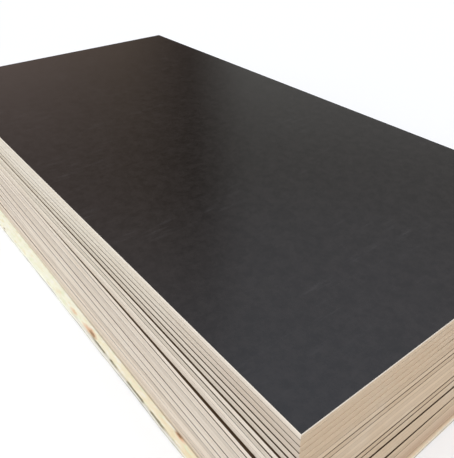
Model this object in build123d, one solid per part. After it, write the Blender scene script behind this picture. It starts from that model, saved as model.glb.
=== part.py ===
"""A stack of film-faced plywood sheets lying on a raw base board.

Millimetres. +X runs along the sheets towards the near end, +Y across them away
from the near side, +Z up. The origin is the centre of the base board's underside.
"""
import os
from math import atan2, degrees

from build123d import *

# Plywood sheet
SHEET_LENGTH = 2440.0
SHEET_WIDTH = 1220.0
SHEET_THICKNESS = 18.0
SHEET_ARRIS = 0.5

# Base board under the stack
BASE_LENGTH = 2500.0
BASE_WIDTH = 1300.0
BASE_THICKNESS = 18.0
BASE_ARRIS = 1.5
BASE_SKEW = -21.5

# Where the centre of the top sheet lies from the centre of the base board
TOP_SHEET_X = 8.5
TOP_SHEET_Y = 7.0

# How each sheet lies under the top one, from the top sheet down: how far its near
# corner stands out past the near end, how far past the near side, and its skew, which
# is how much further its near corner stands out past that side than its far corner does.
SLIPS = [
    (0.0, 0.0, 0.0),
    (0.5, 0.5, 3.0),
    (2.0, 1.5, 4.5),
    (3.5, 3.0, 5.5),
    (5.0, 5.5, 8.5),
    (6.0, 8.5, 10.5),
    (6.5, 13.0, 13.0),
    (7.5, 15.5, 16.0),
    (8.5, 16.0, 15.0),
    (8.5, 16.0, 15.0),
    (6.5, 23.5, 25.0),
    (6.0, 25.5, 27.0),
    (7.0, 21.5, 19.5),
    (9.0, 22.0, 18.5),
    (10.5, 21.5, 18.0),
    (7.0, 20.5, 24.5),
    (10.5, 22.0, 24.0),
    (10.0, 21.0, 22.5),
    (9.5, 22.0, 21.5),
    (7.5, 17.5, 14.0),
    (13.0, 9.0, -0.5),
    (13.0, 10.0, 0.0),
    (13.5, 10.0, 0.0),
    (13.5, 9.5, -5.0),
    (12.5, 10.5, -2.5),
    (12.0, 11.5, 0.0),
]


def eased_board(length, width, thickness, arris):
    """A flat board with all its edges eased, lying on the XY plane with its near corner at the origin."""
    board = Box(length, width, thickness, align=(Align.MAX, Align.MIN, Align.MIN))
    return chamfer(board.edges(), arris)


def turned(skew, length):
    """The turn that a skew gives a board of this length."""
    return Rot(0, 0, -degrees(atan2(skew, length)))


def make_base_board():
    """The raw board that carries the stack, centred on the origin and skewed the other way from most sheets."""
    near_corner = (BASE_LENGTH / 2, -BASE_WIDTH / 2, 0)
    board = eased_board(BASE_LENGTH, BASE_WIDTH, BASE_THICKNESS, BASE_ARRIS)
    return turned(BASE_SKEW, BASE_LENGTH) * Pos(near_corner) * board


def make_sheet(slip, sheets_under):
    """One sheet, placed by its near corner and skewed about it, on the sheets under it."""
    past_end, past_side, skew = slip
    near_corner = (
        TOP_SHEET_X + SHEET_LENGTH / 2 + past_end,
        TOP_SHEET_Y - SHEET_WIDTH / 2 - past_side,
        BASE_THICKNESS + sheets_under * SHEET_THICKNESS,
    )
    board = eased_board(SHEET_LENGTH, SHEET_WIDTH, SHEET_THICKNESS, SHEET_ARRIS)
    return Pos(near_corner) * turned(skew, SHEET_LENGTH) * board


def make_stack():
    """Every piece of the stack by its node name, from the top sheet down to the base board."""
    pieces = {}
    for number, slip in enumerate(SLIPS, start=1):
        pieces[f"sheet_{number:02d}"] = make_sheet(slip, len(SLIPS) - number)
    pieces["base_board"] = make_base_board()
    return pieces


os.makedirs("parts", exist_ok=True)
for node, solid in make_stack().items():
    export_step(solid, f"parts/{node}.step")
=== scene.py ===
"""The looks of a stack of film-faced plywood sheets on a raw base board.

Metres, in the part's own frame: +X towards the near end, +Y away from the near side, +Z up.
"""
import math
import bpy
import numpy as np
from mathutils import Matrix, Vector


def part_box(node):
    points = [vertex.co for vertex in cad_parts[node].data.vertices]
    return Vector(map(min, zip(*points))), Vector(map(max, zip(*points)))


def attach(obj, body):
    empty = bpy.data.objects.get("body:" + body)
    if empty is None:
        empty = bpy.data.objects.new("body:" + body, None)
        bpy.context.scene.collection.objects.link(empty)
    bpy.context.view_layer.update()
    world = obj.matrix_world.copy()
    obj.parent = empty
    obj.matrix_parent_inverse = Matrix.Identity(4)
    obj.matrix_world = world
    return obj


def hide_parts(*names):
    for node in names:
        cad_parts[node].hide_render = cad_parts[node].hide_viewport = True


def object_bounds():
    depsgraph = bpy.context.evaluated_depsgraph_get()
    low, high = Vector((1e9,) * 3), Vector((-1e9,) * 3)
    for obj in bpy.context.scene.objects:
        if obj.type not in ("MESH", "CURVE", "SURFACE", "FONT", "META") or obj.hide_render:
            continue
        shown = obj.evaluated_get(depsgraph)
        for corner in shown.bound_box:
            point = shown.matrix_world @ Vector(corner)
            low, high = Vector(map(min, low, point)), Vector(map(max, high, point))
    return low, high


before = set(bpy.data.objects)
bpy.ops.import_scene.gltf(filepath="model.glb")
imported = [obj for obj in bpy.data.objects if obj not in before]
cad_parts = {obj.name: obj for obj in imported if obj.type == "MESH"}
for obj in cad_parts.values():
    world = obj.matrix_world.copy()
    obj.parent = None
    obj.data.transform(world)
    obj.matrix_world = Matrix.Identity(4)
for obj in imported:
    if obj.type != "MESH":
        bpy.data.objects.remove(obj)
cad_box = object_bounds()

MM = 0.001
BODY = "root"
SHEET_NODES = sorted(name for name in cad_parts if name.startswith("sheet_"))
TOP_SHEET = SHEET_NODES[0]
BASE_NODE = "base_board"
# A board's sides in plan, anticlockwise from its near corner
SIDES = ("near_end", "far_side", "far_end", "near_side")

# Plywood sheets: plies that stand back by turns, eased towards the glue lines between them
PLIES = 13
PLY_INSETS = (0.05 * MM, 0.22 * MM)
PLY_EASE = 0.14
PLY_WAVE = 0.12 * MM
GLUE_LINE_INSET = 0.34 * MM
SAW_DRIFT = 0.25 * MM
SAW_DRIFT_KNOTS = 40
SHEET_COLUMN = 60 * MM
SHEET_AIR = 0.04 * MM
FILM_TRIM = 0.05 * MM
# Edge paint laps over the near rim of the film on the upper sheets, under the top one
PAINTED_SHEETS = range(2, 7)
PAINT_LAP = 1.7 * MM
PAINT_LAP_WAVER = 0.25

# Base board: rough layers, and splinters of fewer than SPLINTER_COLUMNS columns, shallower at the foot
BASE_SEED = 101
BASE_LAYERS = 7
BASE_LAYER_FILL = 0.8
BASE_INSETS = (0.2 * MM, 0.7 * MM)
BASE_WAVE = 0.9 * MM
BASE_DRIFT = 1.6 * MM
BASE_DRIFT_KNOTS = 60
BASE_COLUMN = 25 * MM
SPLINTERS = 26
SPLINTER_COLUMNS = 4
SPLINTER_DEPTH = 4.0 * MM
FOOT_SPLINTERING = 0.5

# Photograph's camera, from the near top corner of the top sheet
PHOTO_HEIGHT_PX = 458
FOCAL_PX = 534.05
SENSOR = 36.0
CAMERA_CLIP_START = 10 * MM
CAMERA_PAST_END = 376.5 * MM
CAMERA_PAST_SIDE = 452.2 * MM
CAMERA_ABOVE = 837.3 * MM
CAMERA_HEADING = math.radians(52.42)
CAMERA_DIP = math.radians(34.46)
CAMERA_ROLL = math.radians(-0.47)


def srgb(red, green, blue):
    """An 8-bit display colour as linear RGBA."""
    def linear(value):
        value /= 255
        return value / 12.92 if value <= 0.04045 else ((value + 0.055) / 1.055) ** 2.4
    return (linear(red), linear(green), linear(blue), 1.0)


# Shapes

# Decimals to which a node's vertices are read, in height and in plan, and what counts as one height
HEIGHT_DECIMALS = 6
PLAN_DECIMALS = 7
SAME_HEIGHT = 1e-6


def outline(node):
    """A board node's corners in plan, anticlockwise from the near one, its foot, its top and its arris."""
    points = np.array([tuple(v.co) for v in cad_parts[node].data.vertices])
    levels = np.unique(np.round(points[:, 2], HEIGHT_DECIMALS))
    foot, top = levels[0], levels[-1]
    arris = top - levels[-2]
    face = points[np.abs(points[:, 2] - top) < SAME_HEIGHT][:, :2]
    face = np.unique(np.round(face, PLAN_DECIMALS), axis=0)
    middle = face.mean(axis=0)
    quarters = [(1, -1), (1, 1), (-1, 1), (-1, -1)]
    corners = np.array([max(face, key=lambda p: (p - middle) @ np.array(q)) for q in quarters])
    along = np.roll(corners, -1, axis=0) - corners
    along /= np.linalg.norm(along, axis=1)[:, None]
    outward = np.stack([along[:, 1], -along[:, 0]], axis=1)
    corners = corners + arris * (outward + np.roll(outward, 1, axis=0))
    return corners, foot, top, arris


def wander(rng, count, knots):
    """A smooth random run of `count` values between 0 and 1 that passes through `knots` random ones."""
    values = rng.random(knots + 3)
    place = np.linspace(0, knots, count)
    cell = np.minimum(place.astype(int), knots - 1)
    t = place - cell
    before, start, end, after = (values[cell + i] for i in range(4))
    curve = 0.5 * (2 * start + (end - before) * t + (2 * before - 5 * start + 4 * end - after) * t ** 2
                   + (3 * start - before - 3 * end + after) * t ** 3)
    return np.clip(curve, 0, 1)


def side_columns(length, pitch):
    """Even places along a side, as shares of its length."""
    return np.linspace(0, 1, max(2, round(length / pitch)) + 1)


class Board:
    """A rectangular board whose skin is a stack of rings, with a number of columns on each side."""

    def __init__(self, node, column_pitch):
        self.corners, self.foot, self.top, self.arris = outline(node)
        ends = np.roll(self.corners, -1, axis=0)
        self.lengths = np.linalg.norm(ends - self.corners, axis=1)
        self.along = (ends - self.corners) / self.lengths[:, None]
        self.outward = np.stack([self.along[:, 1], -self.along[:, 0]], axis=1)
        self.shares = [side_columns(length, column_pitch) for length in self.lengths]
        self.counts = [len(shares) for shares in self.shares]
        self.count = sum(self.counts)
        self.thickness = self.top - self.foot
        self.rings = []

    def per_side(self, values):
        """One value for each column from one value for each side."""
        return np.repeat(values, self.counts)

    def ring(self, height, inset):
        """Adds a ring at a height above the foot, drawn in from the outline by an inset for each column."""
        inset = np.broadcast_to(inset, (self.count,))
        points = []
        first = 0
        for side, shares in enumerate(self.shares):
            deep = inset[first:first + len(shares)]
            ease = self.arris + deep.mean()
            run = ease + shares * (self.lengths[side] - 2 * ease)
            plan = self.corners[side] + run[:, None] * self.along[side] - deep[:, None] * self.outward[side]
            points.append(np.column_stack([plan, np.full(len(shares), self.foot + height)]))
            first += len(shares)
        self.rings.append(np.vstack(points))

    def mesh(self, name, band_slots, cap_slot):
        """The closed mesh, with material slots for each band between rings and one for both caps.

        A band has one slot all round, or one for each column.
        """
        count = self.count
        vertices = np.vstack(self.rings)
        faces = [tuple(range(count))[::-1]]
        slots = [cap_slot]
        for band, slot in enumerate(band_slots):
            low = band * count
            slots.extend(np.broadcast_to(slot, (count,)).tolist())
            for i in range(count):
                j = (i + 1) % count
                faces.append((low + i, low + j, low + count + j, low + count + i))
        faces.append(tuple(range(len(vertices) - count, len(vertices))))
        slots.append(cap_slot)
        mesh = bpy.data.meshes.new(name)
        mesh.from_pydata(vertices.tolist(), [], faces)
        mesh.polygons.foreach_set("material_index", slots)
        mesh.validate()
        mesh.update()
        return mesh


def add_piece(name, mesh, materials, node):
    """Puts a mesh in the scene as the piece that stands for a node."""
    piece = bpy.data.objects.new(name, mesh)
    for material in materials:
        piece.data.materials.append(material)
    bpy.context.scene.collection.objects.link(piece)
    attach(piece, BODY)
    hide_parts(node)


# Material slots of a sheet and of the base board
FILM, EDGE = 0, 1
WOOD = 0


def sheet_mesh(node, number):
    """One sheet: film out to the rims of both faces, and sawn plies standing a little proud of each other.

    The arrises are sealed with the edges, apart from the top sheet's, which are still covered by film.
    """
    rng = np.random.default_rng(number)
    board = Board(node, SHEET_COLUMN)
    fine = board.count // 2
    drift = SAW_DRIFT * wander(rng, board.count, SAW_DRIFT_KNOTS)
    painted = board.per_side([side == "near_end" and number in PAINTED_SHEETS for side in SIDES])
    lap_slots = np.where(painted, EDGE, FILM)
    arris_slot = FILM if node == TOP_SHEET else EDGE
    ply = board.thickness / PLIES

    def rim():
        waver = 1 + PAINT_LAP_WAVER * (2 * wander(rng, board.count, fine) - 1)
        return board.arris + drift + np.where(painted, PAINT_LAP, FILM_TRIM) * waver

    board.ring(SHEET_AIR, rim())
    board.ring(SHEET_AIR, board.arris + drift)
    edge_start = len(board.rings)
    for k in range(PLIES):
        inset = drift + PLY_INSETS[k % 2] + PLY_WAVE * wander(rng, board.count, fine)
        board.ring(max(board.arris, (k + PLY_EASE) * ply), inset)
        board.ring(min(board.thickness - board.arris, (k + 1 - PLY_EASE) * ply), inset)
        if k < PLIES - 1:
            board.ring((k + 1) * ply, drift + GLUE_LINE_INSET)
    edge_slots = [EDGE] * (len(board.rings) - edge_start - 1)
    board.ring(board.thickness, board.arris + drift)
    board.ring(board.thickness, rim())
    return board.mesh(node, [lap_slots, arris_slot, *edge_slots, arris_slot, lap_slots], FILM)


def base_mesh(node, seed):
    """The base board: roughly sawn layers, with splinters broken out of its rims."""
    rng = np.random.default_rng(seed)
    board = Board(node, BASE_COLUMN)
    drift = BASE_DRIFT * wander(rng, board.count, BASE_DRIFT_KNOTS)
    layer = board.thickness / BASE_LAYERS

    def splintered():
        broken = np.zeros(board.count)
        for start in rng.integers(0, board.count - SPLINTER_COLUMNS, SPLINTERS):
            broken[start:start + rng.integers(1, SPLINTER_COLUMNS)] = SPLINTER_DEPTH * rng.random()
        return broken

    board.ring(0.0, board.arris + drift + FOOT_SPLINTERING * splintered())
    for k in range(BASE_LAYERS):
        inset = drift + BASE_INSETS[k % 2] + BASE_WAVE * wander(rng, board.count, board.count // 2)
        board.ring(max(board.arris, k * layer), inset)
        board.ring(min(board.thickness - board.arris, (k + BASE_LAYER_FILL) * layer), inset)
    board.ring(board.thickness, board.arris + drift + splintered())
    return board.mesh(node, [WOOD] * (len(board.rings) - 1), WOOD)


# Node trees

class Nodes:
    """A node tree, with short calls for the nodes that are used here."""

    def __init__(self, tree):
        self.tree = tree

    def add(self, kind, **settings):
        """A new node with some of its settings."""
        node = self.tree.nodes.new(kind)
        for key, value in settings.items():
            setattr(node, key, value)
        return node

    def feed(self, socket, value):
        """Links a socket to an output, or sets it to a constant."""
        if isinstance(value, bpy.types.NodeSocket):
            self.tree.links.new(value, socket)
        else:
            socket.default_value = value

    def math(self, operation, *values):
        """One step of arithmetic."""
        node = self.add("ShaderNodeMath", operation=operation)
        for socket, value in zip(node.inputs, values):
            self.feed(socket, value)
        return node.outputs[0]

    def times(self, product, *factors):
        """The product of several values."""
        for factor in factors:
            product = self.math("MULTIPLY", product, factor)
        return product

    def rest(self, share):
        """What a share leaves of the whole."""
        return self.math("SUBTRACT", 1.0, share)

    def fade(self, share, start, end):
        """A number that goes evenly from start to end as a share goes from 0 to 1."""
        return self.math("MULTIPLY_ADD", share, end - start, start)

    def axes(self, vector):
        """The three parts of a vector."""
        node = self.add("ShaderNodeSeparateXYZ")
        self.feed(node.inputs[0], vector)
        return node.outputs

    def span(self, value, low, high, to_low=0.0, to_high=1.0, curve="SMOOTHSTEP"):
        """A number that goes from to_low to to_high as a value goes from low to high."""
        node = self.add("ShaderNodeMapRange", interpolation_type=curve)
        for socket, number in zip(node.inputs, (value, low, high, to_low, to_high)):
            self.feed(socket, number)
        return node.outputs[0]

    def mix(self, share, first, second, blend="MIX"):
        """Two colours mixed by the share of the second."""
        node = self.add("ShaderNodeMix", data_type="RGBA", blend_type=blend)
        self.feed(node.inputs[0], share)
        self.feed(node.inputs[6], first)
        self.feed(node.inputs[7], second)
        return node.outputs[2]

    def ramp(self, value, stops):
        """A colour ramp, with stops given as places and colours."""
        node = self.add("ShaderNodeValToRGB")
        self.feed(node.inputs[0], value)
        elements = node.color_ramp.elements
        elements.remove(elements[1])
        for index, (place, colour) in enumerate(stops):
            stop = elements.new(place) if index else elements[0]
            stop.position = place
            stop.color = (*colour, 1.0)
        return node.outputs[0]


class Shader(Nodes):
    """A material's node tree, with the place on the object that its looks depend on."""

    def __init__(self, name):
        self.material = bpy.data.materials.new(name)
        self.material.use_nodes = True
        super().__init__(self.material.node_tree)
        self.surface = self.tree.nodes["Principled BSDF"]
        self.place = self.add("ShaderNodeTexCoord").outputs["Object"]
        self.x, self.y, self.z = self.axes(self.place)

    def set(self, **inputs):
        """Sets or links the surface's own inputs."""
        for key, value in inputs.items():
            self.feed(self.surface.inputs[key.replace("_", " ")], value)

    def facing(self):
        """The three parts of the direction in which the surface faces."""
        return self.axes(self.add("ShaderNodeNewGeometry").outputs["Normal"])

    def mapped(self, scale=(1.0, 1.0, 1.0), shift=(0.0, 0.0, 0.0), turn=0.0):
        """The place, stretched, turned about +Z and shifted."""
        node = self.add("ShaderNodeMapping")
        self.feed(node.inputs["Vector"], self.place)
        node.inputs["Scale"].default_value = scale
        node.inputs["Rotation"].default_value = (0.0, 0.0, turn)
        node.inputs["Location"].default_value = shift
        return node.outputs[0]

    def noise(self, vector, scale=1.0, detail=3.0, roughness=0.5, distortion=0.0):
        """Soft noise, mostly between 0.3 and 0.7."""
        node = self.add("ShaderNodeTexNoise")
        for key, value in (("Vector", vector), ("Scale", scale), ("Detail", detail),
                           ("Roughness", roughness), ("Distortion", distortion)):
            self.feed(node.inputs[key], value)
        return node.outputs["Fac"]

    def bump(self, height, distance, strength, normal=None):
        """A bumpy normal, on top of another one if there is one."""
        node = self.add("ShaderNodeBump")
        self.feed(node.inputs["Height"], height)
        node.inputs["Distance"].default_value = distance
        node.inputs["Strength"].default_value = strength
        if normal is not None:
            self.feed(node.inputs["Normal"], normal)
        return node.outputs[0]


# Film

FILM_TONES = (srgb(32, 29, 26), srgb(44, 40, 37))
FILM_ROUGHNESS = 0.12
SCUFF_COLOUR = srgb(70, 67, 66)
SPECK_COLOUR = srgb(150, 146, 140)
# Specks lie in some of the cells of a pattern, with so many cells to the metre
SPECK_CELLS = 6.0
SPECK_SHARE = 0.25
# Sawdust, from the far end to the near one, and where along the stack its colour turns
SAWDUST_TONES = (srgb(134, 112, 88), srgb(70, 52, 34))
SAWDUST_TURN = (-1.2, 0.9)


def film_specks(s):
    """Where the few dust specks lie."""
    cells = s.add("ShaderNodeTexVoronoi")
    s.feed(cells.inputs["Vector"], s.place)
    cells.inputs["Scale"].default_value = SPECK_CELLS
    dot = s.span(cells.outputs["Distance"], 0.006, 0.014, 1.0, 0.0)
    chosen = s.math("GREATER_THAN", s.axes(cells.outputs["Color"])[0], 1 - SPECK_SHARE)
    return s.times(dot, chosen)


def film_material(top_foot):
    """Dark phenolic film: satin, finely mottled, with patches of faint scuffs and a few dust specks.

    Dull brown sawdust lies on the film under the top sheet, palest at the far end.
    """
    s = Shader("phenolic_film")
    mottle = s.noise(s.place, scale=40.0, detail=5.0, roughness=0.7)
    colour = s.mix(s.span(mottle, 0.3, 0.7), *FILM_TONES)
    scuffed = s.span(s.noise(s.place, scale=3.5, roughness=0.6), 0.45, 0.70)
    scuff = s.span(s.noise(s.mapped((70.0, 9.0, 9.0)), detail=4.0, roughness=0.6), 0.50, 0.75)
    scuff = s.times(scuff, scuffed)
    colour = s.mix(s.times(scuff, 0.4), colour, SCUFF_COLOUR)
    colour = s.mix(s.times(film_specks(s), 0.7), colour, SPECK_COLOUR)
    dusty = s.math("LESS_THAN", s.z, top_foot)
    sawdust = s.mix(s.span(s.x, *SAWDUST_TURN), *SAWDUST_TONES)
    colour = s.mix(s.times(dusty, 0.8), colour, sawdust)
    rough = FILM_ROUGHNESS
    for cause, added in ((mottle, 0.06), (scuff, 0.08), (dusty, 0.5)):
        rough = s.math("ADD", rough, s.times(cause, added))
    s.set(Base_Color=colour, Roughness=rough, Specular_IOR_Level=s.fade(dusty, 0.5, 0.1))
    swell = s.bump(s.noise(s.mapped((2.0, 5.0, 1.0)), detail=2.0), 1.0 * MM, 0.4)
    s.set(Normal=s.bump(s.noise(s.place, scale=900.0, detail=2.0), 0.03 * MM, 0.5, swell))
    return s.material


# Sealed edges

SIDE_TONES = (srgb(207, 198, 184), srgb(240, 231, 217))
# The ends are browner and darker than the sides: partly their own tint, partly painted shade.
END_TONES_AND_SHADE = (srgb(207, 183, 153), srgb(222, 200, 171))
FLUSH_COLOUR = srgb(220, 198, 180)
CREAM_COLOUR = srgb(224, 220, 197)
LOW_SHADE_COLOUR = srgb(200, 169, 144)
STREAK_COLOUR = srgb(182, 162, 138)
PLY_COLOUR = srgb(176, 152, 124)
BLOTCH_COLOUR = srgb(230, 222, 208)
RIM_HIGHLIGHT_COLOUR = srgb(242, 234, 220)
LIP_HIGHLIGHT_COLOUR = srgb(244, 236, 222)
UPPER_NEAR_COLOUR = srgb(170, 146, 122)
UPPER_FAR_COLOUR = srgb(246, 240, 228)
SEAM_SHADE_COLOUR = srgb(126, 102, 76)
RESIN_COLOUR = srgb(84, 65, 43)
LAP_SHADE_COLOUR = srgb(140, 114, 86)
PIT_COLOUR = srgb(128, 104, 80)
# Heights on the stack, in sheets from the base board up, over which a look sets in or fades out
FOOT_LEVELS = (0.10, 0.30)
LOW_LEVELS = (0.5, 5.0)
FILLED_SIDE_LEVELS = (3.25, 3.6)
CREAM_LEVELS = (12.0, 22.0)
FILLED_END_LEVELS = (19.4, 20.6)
UPPER_LEVELS = (20.5, 23.5)
TOP_SHEET_LEVELS = (len(SHEET_NODES) - 0.95, len(SHEET_NODES) - 0.85)


class EdgeShader(Shader):
    """The sealed edges' node tree, with what their looks depend on.

    level counts sheets from the base board up, and rise is the share of the way up through a sheet.
    end, far and top_sheet are 1 on the cut ends, on the two far faces and on the top sheet.
    """

    def __init__(self, name, base_top, sheet_thickness):
        super().__init__(name)
        self.level = self.math("DIVIDE", self.math("SUBTRACT", self.z, base_top), sheet_thickness)
        self.rise = self.math("FRACT", self.level)
        facing_x, facing_y, self.facing_up = self.facing()
        self.end = self.span(self.math("ABSOLUTE", facing_y), 0.4, 0.8, 1.0, 0.0)
        far_side = self.span(facing_y, 0.1, 0.4)
        far_end = self.span(facing_x, -0.4, -0.1, 1.0, 0.0)
        self.far = self.math("MAXIMUM", far_side, far_end)
        self.top_sheet = self.span(self.level, *TOP_SHEET_LEVELS)


def edge_tones(s):
    """The paint's colour: each sheet a little different, ends browner partly by their own tint and partly
    by painted shade, creamy upper sides, and painted warm shade on the lowest sheets.
    """
    sheet = s.add("ShaderNodeTexWhiteNoise", noise_dimensions="1D")
    s.feed(sheet.inputs["W"], s.math("FLOOR", s.level))
    tone, flush, _ = s.axes(sheet.outputs["Color"])
    colour = s.mix(s.end, s.mix(tone, *SIDE_TONES), s.mix(tone, *END_TONES_AND_SHADE))
    colour = s.mix(s.times(flush, s.fade(s.end, 0.2, 0.0)), colour, FLUSH_COLOUR)
    cream = s.times(s.span(s.level, *CREAM_LEVELS), s.fade(s.end, 0.45, 0.0))
    cream = s.times(cream, s.span(s.x, 0.2, 1.1, 1.0, 0.2))
    colour = s.mix(cream, colour, CREAM_COLOUR)
    # Painted warm shade on the lowest sheets next to the base board: browner towards the bottom, mostly on
    # the ends.
    low = s.times(s.span(s.level, *LOW_LEVELS, 1.0, 0.0), s.fade(s.end, 0.1, 0.6))
    return s.mix(low, colour, LOW_SHADE_COLOUR)


def edge_plies(s, colour, streak):
    """Adds saw streaks, plies that show through the paint, and pale blotches."""
    colour = s.mix(s.span(streak, 0.45, 0.75, 0.0, 0.40), colour, STREAK_COLOUR)
    ply = s.math("PINGPONG", s.times(s.level, float(PLIES)), 1.0)
    colour = s.mix(s.times(s.span(ply, 0.35, 0.65), 0.12), colour, PLY_COLOUR)
    blotch = s.noise(s.place, scale=5.0, detail=4.0, roughness=0.6)
    return s.mix(s.span(blotch, 0.5, 0.75, 0.0, 0.25), colour, BLOTCH_COLOUR)


def edge_rims(s, colour):
    """Adds painted highlights along each sheet's upper rim and over the top of the top sheet's edge, and
    upper sides that brown towards the near end.
    """
    # Painted highlight along the upper rim of each sheet, mostly on the sides and on the top sheet.
    shown = s.math("MAXIMUM", s.fade(s.end, 1.0, 0.15), s.top_sheet)
    colour = s.mix(s.times(s.span(s.rise, 0.72, 0.95, 0.0, 0.45), shown), colour, RIM_HIGHLIGHT_COLOUR)
    # Painted highlight over the upper part of the top sheet's edge.
    lip_highlight = s.times(s.span(s.rise, 0.60, 0.76, 0.0, 0.8), s.top_sheet)
    colour = s.mix(lip_highlight, colour, LIP_HIGHLIGHT_COLOUR)
    upper = s.rest(s.math("MAXIMUM", s.end, s.top_sheet))
    upper = s.times(upper, s.span(s.level, *UPPER_LEVELS))
    colour = s.mix(s.times(upper, s.span(s.x, 0.70, 1.15, 0.0, 0.36)), colour, UPPER_NEAR_COLOUR)
    return s.mix(s.times(upper, s.span(s.x, -0.1, 0.7, 0.35, 0.0)), colour, UPPER_FAR_COLOUR)


def edge_joints(s, colour):
    """Adds painted shade, darkening brown up from each joint and at the foot of the stack, and a line of
    dark resin just under each joint.

    Paint fills the joints between the upper sheets on the near end and between the lowest ones on the
    near side. On the far faces every joint is open.
    """
    filled_ends = s.times(s.span(s.level, *FILLED_END_LEVELS), s.end)
    filled_sides = s.times(s.span(s.level, *FILLED_SIDE_LEVELS, 1.0, 0.0), s.rest(s.end))
    open_joint = s.fade(s.math("MAXIMUM", filled_ends, filled_sides), 1.0, 0.15)
    # Painted shade just above each joint, where a sheet meets the one below, and stronger at the foot of
    # the lowest sheet on the base board.
    seam_shade = s.times(s.span(s.rise, 0.0, 0.20, 0.26, 0.0), s.math("MAXIMUM", open_joint, s.far))
    seam_shade = s.math("MAXIMUM", seam_shade, s.span(s.level, *FOOT_LEVELS, 0.45, 0.0))
    colour = s.mix(seam_shade, colour, SEAM_SHADE_COLOUR)
    resin = s.times(s.fade(s.end, 0.65, 0.25), s.span(s.x, -0.7, 0.9, 0.3, 1.0))
    resin = s.times(resin, open_joint, s.span(s.rise, 0.962, 0.975))
    resin = s.math("MAXIMUM", resin, s.times(s.far, s.span(s.rise, 0.90, 0.93, 0.0, 0.85)))
    return s.mix(s.times(resin, s.rest(s.top_sheet)), colour, RESIN_COLOUR)


def edge_material(base_top, sheet_thickness):
    """Sealed plywood edge: beige paint over the plies, with open and filled joints, laps and small pits."""
    s = EdgeShader("sealed_edge", base_top, sheet_thickness)
    streak = s.noise(s.mapped((4.0, 4.0, 900.0)), detail=4.0, roughness=0.6)
    colour = edge_tones(s)
    colour = edge_plies(s, colour, streak)
    colour = edge_rims(s, colour)
    colour = edge_joints(s, colour)
    # Upward faces of the paint, the laps on the upper sheets, are darkened a little: painted shade against
    # the light from above.
    colour = s.mix(s.span(s.facing_up, 0.8, 0.95, 0.0, 0.05), colour, LAP_SHADE_COLOUR)
    pits = s.span(s.noise(s.mapped((180.0, 180.0, 600.0)), detail=2.0), 0.70, 0.76)
    colour = s.mix(s.times(pits, 0.5), colour, PIT_COLOUR)
    s.set(Base_Color=colour, Roughness=0.72)
    s.set(Normal=s.bump(streak, 0.15 * MM, 0.4))
    return s.material


# Base board

WOOD_TONES = (srgb(250, 251, 229), srgb(247, 236, 205))
GRAIN_COLOUR = srgb(229, 213, 176)
GREENISH_COLOUR = srgb(238, 243, 212)
YELLOW_COLOUR = srgb(236, 216, 164)
CHALKY_COLOUR = srgb(253, 252, 243)
STAIN_COLOUR = srgb(226, 168, 126)
HEART_COLOUR = srgb(124, 92, 54)
BLEACHED_COLOUR = srgb(229, 225, 217)
WEATHERED_COLOUR = srgb(126, 119, 94)
CONTACT_SHADE_COLOUR = srgb(138, 113, 84)
NEAR_END_WARM_SHADE_COLOUR = srgb(241, 214, 184)
SAWN_SIDE_COLOUR = srgb(236, 234, 223)
FOOT_DARK_COLOUR = srgb(118, 114, 104)
WORN_COLOUR = srgb(120, 113, 94)
# Stains: place, length and width, then how strong the stain is, how dark its heart is and how far the
# heart lies off the middle along the board
STAINS = (
    (0.817, -0.618, 0.060, 0.012, 0.70, 0.8, -0.5),
    (0.292, -0.633, 0.095, 0.018, 0.75, 0.7, 0.5),
    (0.168, -0.635, 0.060, 0.012, 0.45, 0.0, 0.0),
    (-0.507, -0.651, 0.055, 0.014, 0.10, 0.8, 0.0),
    (1.243, 0.330, 0.030, 0.016, 0.60, 0.4, 0.5),
    (-0.950, 0.640, 0.080, 0.013, 0.75, 0.7, 0.6),
    (-1.240, 0.120, 0.050, 0.015, 0.75, 0.8, 0.6),
)
STAIN_RAGGEDNESS = 1.6
# A weathered line along the near side, how far it wavers, where it runs and over what length it fades
WEATHER_LINE = -0.6395
WEATHER_WAVER = 4 * MM
WEATHER_RUN = (0.32, 0.82)
WEATHER_FADE = 0.10
# Painted shade in the corner between the board and the lowest sheet
CONTACT_SHADE_WIDTH = 4 * MM
# Where painted warm shade sets in towards the near end, as distances from it
NEAR_END_STRIP = (25 * MM, 5 * MM)
# Darkening towards the foot of the sides, and wear along the far rims
FOOT_DARK_HEIGHTS = (3 * MM, 11 * MM)
WORN_WIDTHS = (4 * MM, 9 * MM)
WORN_WAVER = 9 * MM


def wood_colour(s, grain):
    """Pale wood, yellower towards the near end, with grain and greenish, yellow and chalky patches."""
    bands = s.noise(s.mapped((1.2, 22.0, 22.0)), distortion=0.8)
    colour = s.mix(s.span(s.math("MULTIPLY_ADD", bands, 0.5, s.x), 0.3, 1.15), *WOOD_TONES)
    colour = s.mix(s.span(grain, 0.5, 0.75, 0.0, 0.45), colour, GRAIN_COLOUR)
    greenish = s.noise(s.mapped((22.0, 60.0, 60.0), (3.0, 0.0, 0.0)))
    colour = s.mix(s.span(greenish, 0.50, 0.66, 0.0, 0.75), colour, GREENISH_COLOUR)
    patch = s.noise(s.mapped((20.0, 80.0, 60.0), (7.0, 0.0, 0.0)), detail=4.0, roughness=0.6)
    colour = s.mix(s.span(patch, 0.52, 0.66, 0.0, 0.35), colour, YELLOW_COLOUR)
    return s.mix(s.span(patch, 0.34, 0.48, 0.6, 0.0), colour, CHALKY_COLOUR)


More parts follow.
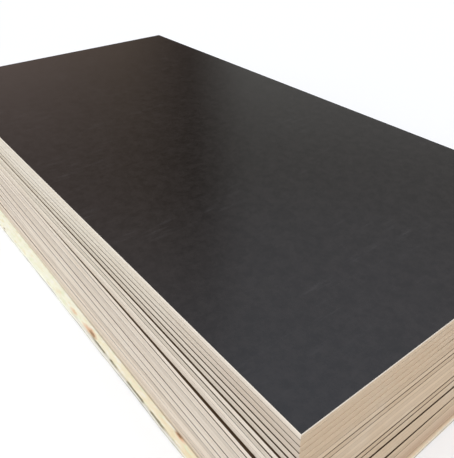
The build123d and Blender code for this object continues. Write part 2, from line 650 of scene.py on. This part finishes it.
def stained(s, colour, ragged):
    """Adds the stains, each a ragged oval with a dark heart."""
    for stain_x, stain_y, length, width, strength, heart, lean in STAINS:
        along = s.math("DIVIDE", s.math("SUBTRACT", s.x, stain_x), length / 2)
        across = s.math("DIVIDE", s.math("SUBTRACT", s.y, stain_y), width / 2)
        reach = s.math("ADD", s.math("POWER", along, 2.0), s.math("POWER", across, 2.0))
        reach = s.math("MULTIPLY_ADD", ragged, STAIN_RAGGEDNESS, s.math("SQRT", reach))
        colour = s.mix(s.span(reach, 0.3, 1.3, strength, 0.0), colour, STAIN_COLOUR)
        off_heart = s.math("ADD", reach, s.times(along, -lean))
        colour = s.mix(s.span(off_heart, 0.0, 0.6, heart, 0.0), colour, HEART_COLOUR)
    return colour


def weathered(s, colour, ragged):
    """Adds the broken dark line along the near side, and bleached wood outside it."""
    past_line = s.math("MULTIPLY_ADD", ragged, WEATHER_WAVER, s.math("SUBTRACT", s.y, WEATHER_LINE))
    bleached = s.span(past_line, -1.5 * MM, 0.5 * MM, 0.8, 0.0)
    colour = s.mix(s.times(bleached, s.span(s.x, 0.05, 0.35)), colour, BLEACHED_COLOUR)
    start, end = WEATHER_RUN
    half = WEATHER_FADE / 2
    run = s.times(s.span(s.x, start - half, start + half), s.span(s.x, end - half, end + half, 1.0, 0.0))
    broken = s.span(s.noise(s.mapped((14.0, 2.0, 2.0))), 0.38, 0.55, 0.3, 1.0)
    line = s.span(s.math("ABSOLUTE", past_line), 1.4 * MM, 3.8 * MM, 0.9, 0.0)
    return s.mix(s.times(line, run, broken), colour, WEATHERED_COLOUR)


def wear_and_painted_shade(s, colour, ragged, turn, half_length, half_width):
    """Adds painted warm shade at the near end, sawn sides that darken towards their foot, and wear along
    the far rims.
    """
    along, across, _ = s.axes(s.mapped(turn=-turn))
    # Painted warm shade, peach, on the board towards its near end.
    warm_shade = s.span(along, *(half_length - distance for distance in NEAR_END_STRIP))
    colour = s.mix(s.times(warm_shade, 0.6), colour, NEAR_END_WARM_SHADE_COLOUR)
    side = s.span(s.math("ABSOLUTE", s.facing()[2]), 0.3, 0.8, 1.0, 0.0)
    colour = s.mix(s.times(side, 0.8), colour, SAWN_SIDE_COLOUR)
    colour = s.mix(s.times(side, s.span(s.z, *FOOT_DARK_HEIGHTS, 0.75, 0.0)), colour, FOOT_DARK_COLOUR)
    patchy = s.span(s.noise(s.mapped((6.0, 6.0, 6.0)), detail=2.0), 0.50, 0.62, 0.0, 0.7)
    margin = s.math("MINIMUM", s.math("ADD", half_length, along), s.math("SUBTRACT", half_width, across))
    margin = s.math("MULTIPLY_ADD", ragged, WORN_WAVER, margin)
    return s.mix(s.times(s.span(margin, *WORN_WIDTHS, 0.8, 0.0), patchy), colour, WORN_COLOUR)


def board_material(turn, half_length, half_width, stack_side, stack_end):
    """Raw pale softwood: grain along the board, stains round its knots, weathered and worn at its rims."""
    s = Shader("raw_board")
    grain = s.noise(s.mapped((5.0, 160.0, 160.0)), detail=5.0, roughness=0.6, distortion=0.6)
    ragged = s.noise(s.mapped((30.0, 120.0, 60.0)), detail=4.0, roughness=0.6)
    ragged = s.math("SUBTRACT", ragged, 0.5)
    colour = wood_colour(s, grain)
    colour = stained(s, colour, ragged)
    colour = weathered(s, colour, ragged)
    clear = s.math("MAXIMUM", s.math("SUBTRACT", stack_side, s.y), s.math("SUBTRACT", s.x, stack_end))
    # Painted contact shade on the board along the foot of the stack.
    contact_shade = s.span(clear, 0.4 * CONTACT_SHADE_WIDTH, CONTACT_SHADE_WIDTH, 0.5, 0.0)
    colour = s.mix(s.times(contact_shade, s.span(s.x, -0.2, 0.3)), colour, CONTACT_SHADE_COLOUR)
    colour = wear_and_painted_shade(s, colour, ragged, turn, half_length, half_width)
    s.set(Base_Color=colour, Roughness=0.8)
    s.set(Normal=s.bump(grain, 0.4 * MM, 0.5))
    return s.material


# Pieces

def add_sheets():
    """Every sheet as a detailed board of its own."""
    base_top = float(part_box(BASE_NODE)[1][2])
    low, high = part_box(TOP_SHEET)
    film = film_material(float(low[2]))
    edge = edge_material(base_top, float(high[2] - low[2]))
    for number, node in enumerate(SHEET_NODES, start=1):
        add_piece("plywood_" + node, sheet_mesh(node, number), (film, edge), node)


def add_base():
    """The base board as a detailed board of its own."""
    corners = outline(BASE_NODE)[0]
    length = corners[0] - corners[3]
    width = corners[1] - corners[0]
    turn = math.atan2(length[1], length[0])
    stack_end, stack_side = outline(SHEET_NODES[-1])[0][0]
    wood = board_material(turn, float(np.linalg.norm(length)) / 2, float(np.linalg.norm(width)) / 2,
                          float(stack_side), float(stack_end))
    add_piece("raw_" + BASE_NODE, base_mesh(BASE_NODE, BASE_SEED), (wood,), BASE_NODE)


# Stage

FLOOR_SIZE = 60.0
FLOOR_COLOUR = srgb(238, 237, 235)
FLOOR_LIFT = 0.19
WHITE = (1.0, 1.0, 1.0, 1.0)


def add_floor():
    """A wide pale floor, a little brighter to the eye than to the light that it throws back."""
    bpy.ops.mesh.primitive_plane_add(size=FLOOR_SIZE, location=(0, 0, float(cad_box[0][2])))
    floor = bpy.context.object
    floor.name = "floor"
    s = Shader("floor_paint")
    s.set(Base_Color=FLOOR_COLOUR, Roughness=0.9, Specular_IOR_Level=0.0)
    rays = s.add("ShaderNodeLightPath").outputs
    seen = s.math("MAXIMUM", rays["Is Camera Ray"], rays["Is Glossy Ray"])
    seen = s.math("MAXIMUM", seen, rays["Is Transmission Ray"])
    s.set(Emission_Color=WHITE, Emission_Strength=s.times(seen, FLOOR_LIFT))
    floor.data.materials.append(s.material)


# Room light by the sine of the height above the horizon
SKY_HEIGHTS = (
    (0.0, (0.80, 0.80, 0.80)),
    (0.09, (0.42, 0.42, 0.42)),
    (0.26, (0.33, 0.33, 0.32)),
    (0.47, (0.30, 0.30, 0.30)),
    (0.66, (0.62, 0.64, 0.72)),
    (0.80, (0.78, 0.85, 1.0)),
)
# and its tint by the bearing, in degrees from +Y towards -X: dark in one narrow stretch, paler beside it
SKY_BEARINGS = (
    (34, (1.0, 1.0, 1.0)),
    (50, (0.92, 0.92, 0.90)),
    (56, (0.18, 0.13, 0.11)),
    (63, (0.63, 0.47, 0.38)),
    (75, (0.97, 0.74, 0.67)),
    (150, (1.0, 1.0, 1.0)),
)
# which fades out overhead
TINT_FADE = (0.50, 0.85)
# Broad distant lamps: the way towards each, its strength, its spread in degrees and its colour
LAMPS = {
    "key": ((0.26, -0.71, 0.70), 1.55, 80, (1.0, 0.99, 0.97)),
    "fill": ((0.90, -0.10, 0.25), 0.2, 40, (1.0, 0.88, 0.74)),
}


def add_sky():
    """Soft room light: pale at the horizon, dim above it, bright and cool overhead."""
    world = bpy.data.worlds.new("room")
    bpy.context.scene.world = world
    world.use_nodes = True
    sky = Nodes(world.node_tree)
    x, y, z = sky.axes(sky.add("ShaderNodeTexCoord").outputs["Generated"])
    bearing = sky.math("ARCTAN2", sky.times(x, -1.0), y)
    turn = sky.math("MULTIPLY_ADD", bearing, 1 / (2 * math.pi), 0.5)
    tint = sky.ramp(turn, [(degrees / 360 + 0.5, colour) for degrees, colour in SKY_BEARINGS])
    tinted = sky.span(z, *TINT_FADE, 1.0, 0.0, curve="LINEAR")
    light = sky.mix(tinted, sky.ramp(z, SKY_HEIGHTS), tint, blend="MULTIPLY")
    sky.feed(world.node_tree.nodes["Background"].inputs["Color"], light)


def add_lamp(name, towards, strength, spread, colour):
    """A broad distant lamp in the direction `towards`, with a spread in degrees."""
    lamp = bpy.data.lights.new(name, "SUN")
    lamp.energy = strength
    lamp.angle = math.radians(spread)
    lamp.color = colour
    stand = bpy.data.objects.new(name, lamp)
    back = np.array(towards, float) / np.linalg.norm(towards)
    right = np.cross((0, 0, 1), back)
    right /= np.linalg.norm(right)
    turn = np.column_stack([right, np.cross(back, right), back])
    stand.matrix_world = Matrix(turn.tolist()).to_4x4()
    bpy.context.scene.collection.objects.link(stand)


def add_lights():
    """The room light and the lamps."""
    add_sky()
    for name, lamp in LAMPS.items():
        add_lamp(name, *lamp)


def add_camera():
    """The photograph's camera, placed from the near top corner of the top sheet."""
    corners, _, top, _ = outline(TOP_SHEET)
    near_x, near_y = corners[0]
    lens = bpy.data.cameras.new("camera")
    lens.sensor_width = SENSOR
    lens.lens = SENSOR * FOCAL_PX / PHOTO_HEIGHT_PX
    lens.clip_start = CAMERA_CLIP_START
    camera = bpy.data.objects.new("camera", lens)
    place = (near_x + CAMERA_PAST_END, near_y - CAMERA_PAST_SIDE, top + CAMERA_ABOVE)
    camera.matrix_world = (
        Matrix.Translation(place)
        @ Matrix.Rotation(CAMERA_HEADING, 4, "Z")
        @ Matrix.Rotation(math.pi / 2 - CAMERA_DIP, 4, "X")
        @ Matrix.Rotation(CAMERA_ROLL, 4, "Z")
    )
    bpy.context.scene.collection.objects.link(camera)
    bpy.context.scene.camera = camera


add_sheets()
add_base()
add_floor()
add_lights()
add_camera()
bpy.context.scene.view_settings.view_transform = "Standard"
